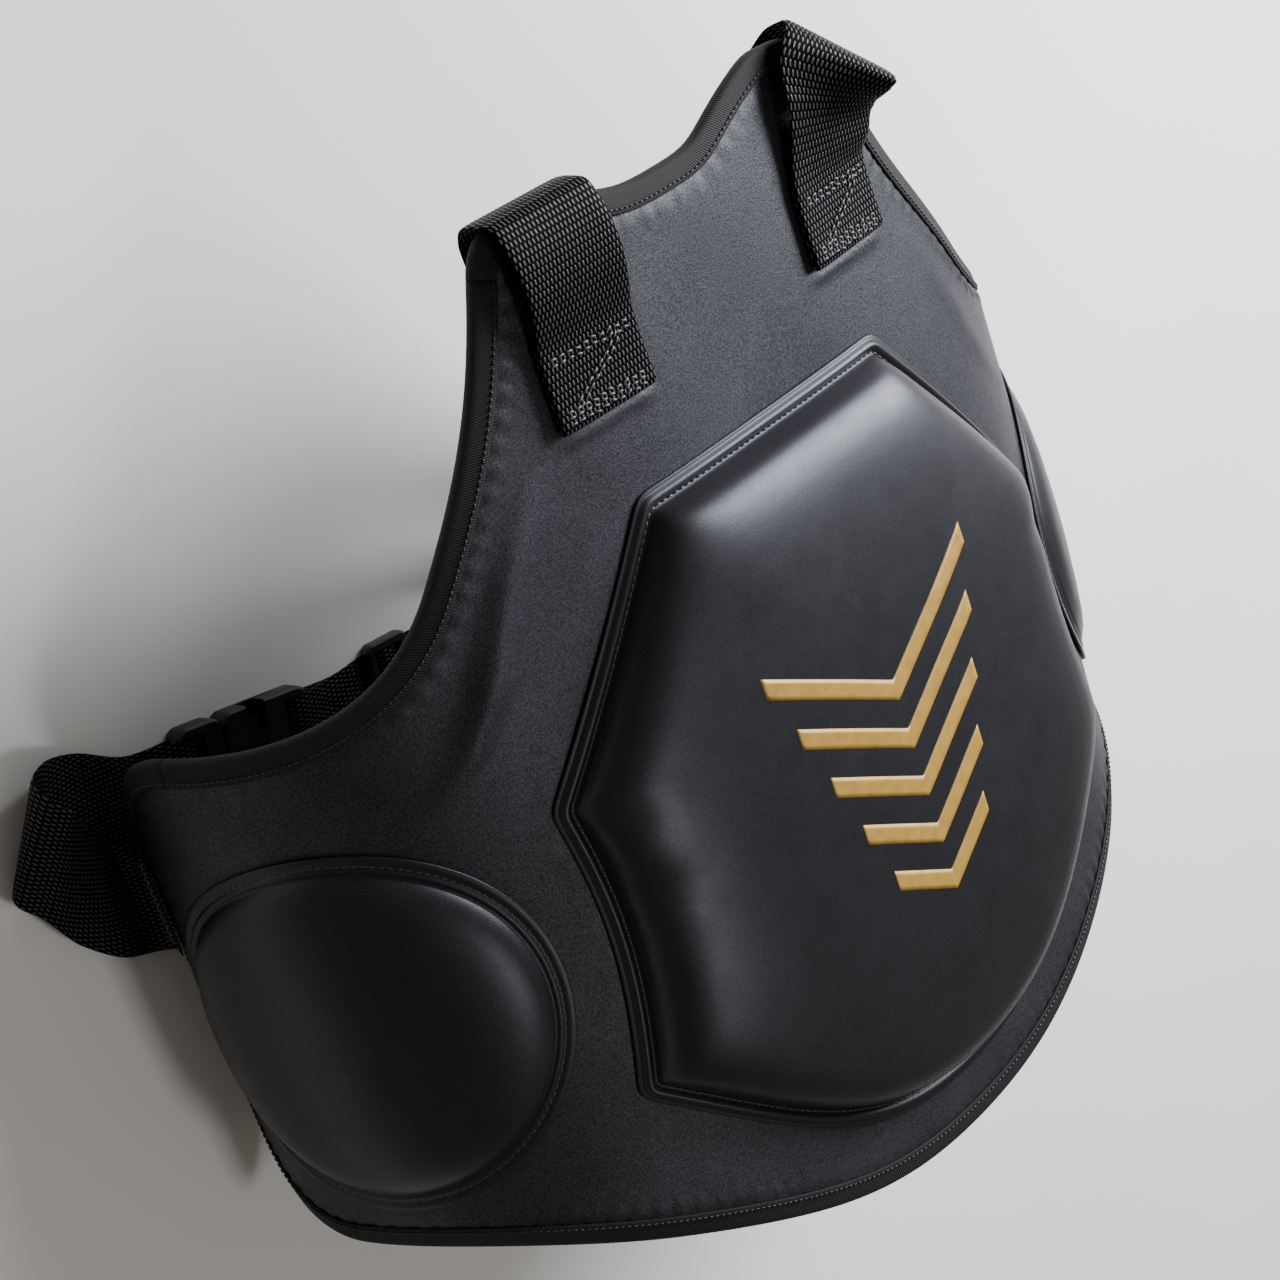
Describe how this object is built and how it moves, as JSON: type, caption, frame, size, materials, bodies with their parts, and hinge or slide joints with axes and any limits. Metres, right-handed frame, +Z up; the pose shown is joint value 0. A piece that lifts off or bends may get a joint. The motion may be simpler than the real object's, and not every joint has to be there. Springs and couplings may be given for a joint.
{
  "type": "belly pad",
  "caption": "Trainer's belly pad: a wrapped, padded leather vest front with a raised belly pad, round side pads, webbing shoulder straps and a buckled waist belt.",
  "frame": {"origin": "on the floor that the part lies on, under the middle of its bounding box", "axes": "+X to the wearer's left, +Y towards the shoulders, +Z up from the floor, out of the wearer's front"},
  "size_m": [0.5826, 0.5052, 0.2274],
  "materials": {
    "leather_panel": "fine-grained matte black synthetic leather",
    "leather_pad": "smooth satin black synthetic leather",
    "binding_tape": "ribbed black woven tape",
    "webbing": "coarse black woven webbing",
    "buckle_plastic": "satin black moulded plastic"
  },
  "bodies": {
    "root": {"shell": "leather_panel", "belly_pad": "leather_pad", "side_pad_right": "leather_pad", "side_pad_left": "leather_pad", "binding_neck": "binding_tape", "binding_armhole_left": "binding_tape", "binding_armhole_right": "binding_tape", "binding_rear_left": "binding_tape", "binding_rear_right": "binding_tape", "binding_lower": "binding_tape", "shoulder_strap_right": "webbing", "shoulder_strap_left": "webbing", "belt_right": "webbing", "belt_left": "webbing", "buckle_plug": "buckle_plastic", "buckle_socket": "buckle_plastic", "ladder_lock": "buckle_plastic"}
  },
  "joints": []
}
